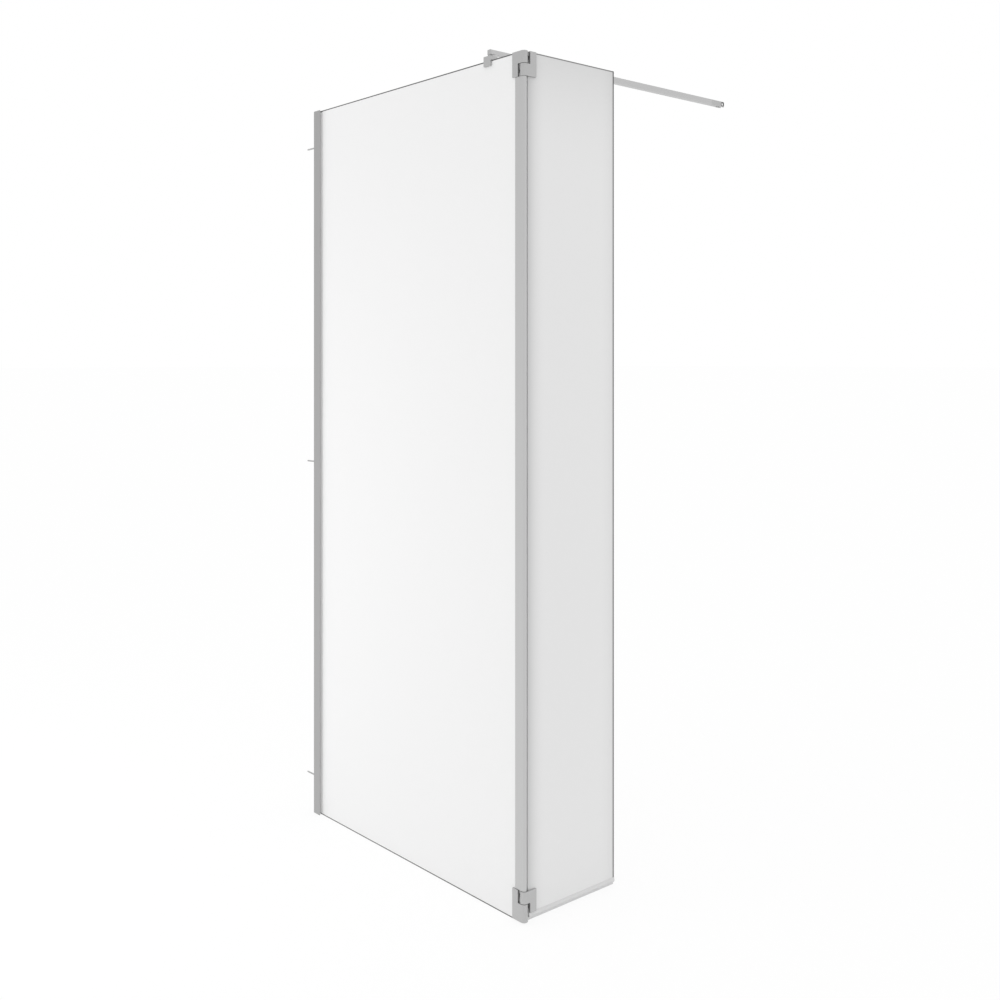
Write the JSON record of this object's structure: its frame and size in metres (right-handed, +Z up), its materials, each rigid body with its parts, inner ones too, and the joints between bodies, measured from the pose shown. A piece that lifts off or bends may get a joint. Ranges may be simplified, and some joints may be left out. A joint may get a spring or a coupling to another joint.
{
  "type": "walk-in shower screen",
  "caption": "Fixed satin glass shower screen in an adjustable wall channel, with a narrow return panel hinged on its free edge and an extending brace bar to the opposite wall.",
  "frame": {"origin": "on the wall face at floor level, in the middle of the main glass's thickness", "axes": "+X out of the wall along the main glass, +Y into the shower along the return glass, +Z up"},
  "size_m": [0.9462, 0.8877, 2.0286],
  "materials": {
    "satin_glass": "satin etched, milky white",
    "satin_aluminium": "satin anodised silver",
    "satin_hardware": "satin silver",
    "stainless_steel": "plain",
    "grey_seal": "matt",
    "clear_seal": "translucent",
    "rubber_pads": "matt",
    "black_plastic": "matt",
    "cap_plastic": "satin grey"
  },
  "bodies": {
    "wall_profile": {"wall_channel": "satin_aluminium", "wall_screws": "stainless_steel"},
    "main_panel": {"glass_channel": "satin_aluminium", "channel_seal_outer": "grey_seal", "channel_seal_inner": "grey_seal", "adjust_screws": "stainless_steel", "adjust_screw_caps": "cap_plastic", "main_glass": "satin_glass", "corner_strip": "satin_aluminium", "top_hinge_main_leaf": "satin_hardware", "top_hinge_main_plate": "satin_hardware", "top_hinge_main_pads": "rubber_pads", "top_hinge_main_screws": "stainless_steel", "bottom_hinge_main_leaf": "satin_hardware", "bottom_hinge_main_plate": "satin_hardware", "bottom_hinge_main_pads": "rubber_pads", "bottom_hinge_main_screws": "stainless_steel", "top_hinge_pin": "stainless_steel", "top_hinge_washer": "black_plastic", "bottom_hinge_pin": "stainless_steel", "bottom_hinge_washer": "black_plastic", "brace_clamp_body": "satin_hardware", "brace_clamp_pads": "rubber_pads", "brace_clamp_jaw": "satin_hardware", "brace_clamp_screws": "stainless_steel"},
    "return_panel": {"return_glass": "satin_glass", "return_drip_seal": "clear_seal", "top_hinge_return_leaf": "satin_hardware", "top_hinge_return_plate": "satin_hardware", "top_hinge_return_pads": "rubber_pads", "top_hinge_return_screws": "stainless_steel", "bottom_hinge_return_leaf": "satin_hardware", "bottom_hinge_return_plate": "satin_hardware", "bottom_hinge_return_pads": "rubber_pads", "bottom_hinge_return_screws": "stainless_steel", "top_hinge_bush": "black_plastic", "bottom_hinge_bush": "black_plastic"},
    "brace": {"brace_bar": "satin_aluminium", "brace_end_block": "satin_hardware", "brace_bar_plug": "black_plastic", "brace_pivot_screw": "stainless_steel", "brace_pivot_washer": "black_plastic"},
    "brace_outer": {"brace_tube": "satin_aluminium", "brace_lock_screw": "stainless_steel", "brace_end_fork": "satin_hardware", "brace_eye_bushes": "black_plastic", "brace_fork_screw": "stainless_steel"}
  },
  "joints": [
    {"name": "width_adjust", "type": "slide", "parent": "wall_profile", "child": "main_panel", "axis": [1, 0, 0], "range_m": [0, 0.015]},
    {"name": "return_panel_swing", "type": "hinge", "parent": "main_panel", "child": "return_panel", "pos_m": [0.88, 0, 0], "axis": [0, 0, -1], "range_deg": [0, 180]},
    {"name": "brace_swivel", "type": "hinge", "parent": "main_panel", "child": "brace", "pos_m": [0.7588, 0.00125, 2.01], "axis": [0, 0, 1], "range_deg": [-45, 45]},
    {"name": "brace_length", "type": "slide", "parent": "brace", "child": "brace_outer", "axis": [0, 1, 0], "range_m": [-0.14, 0.2]}
  ]
}
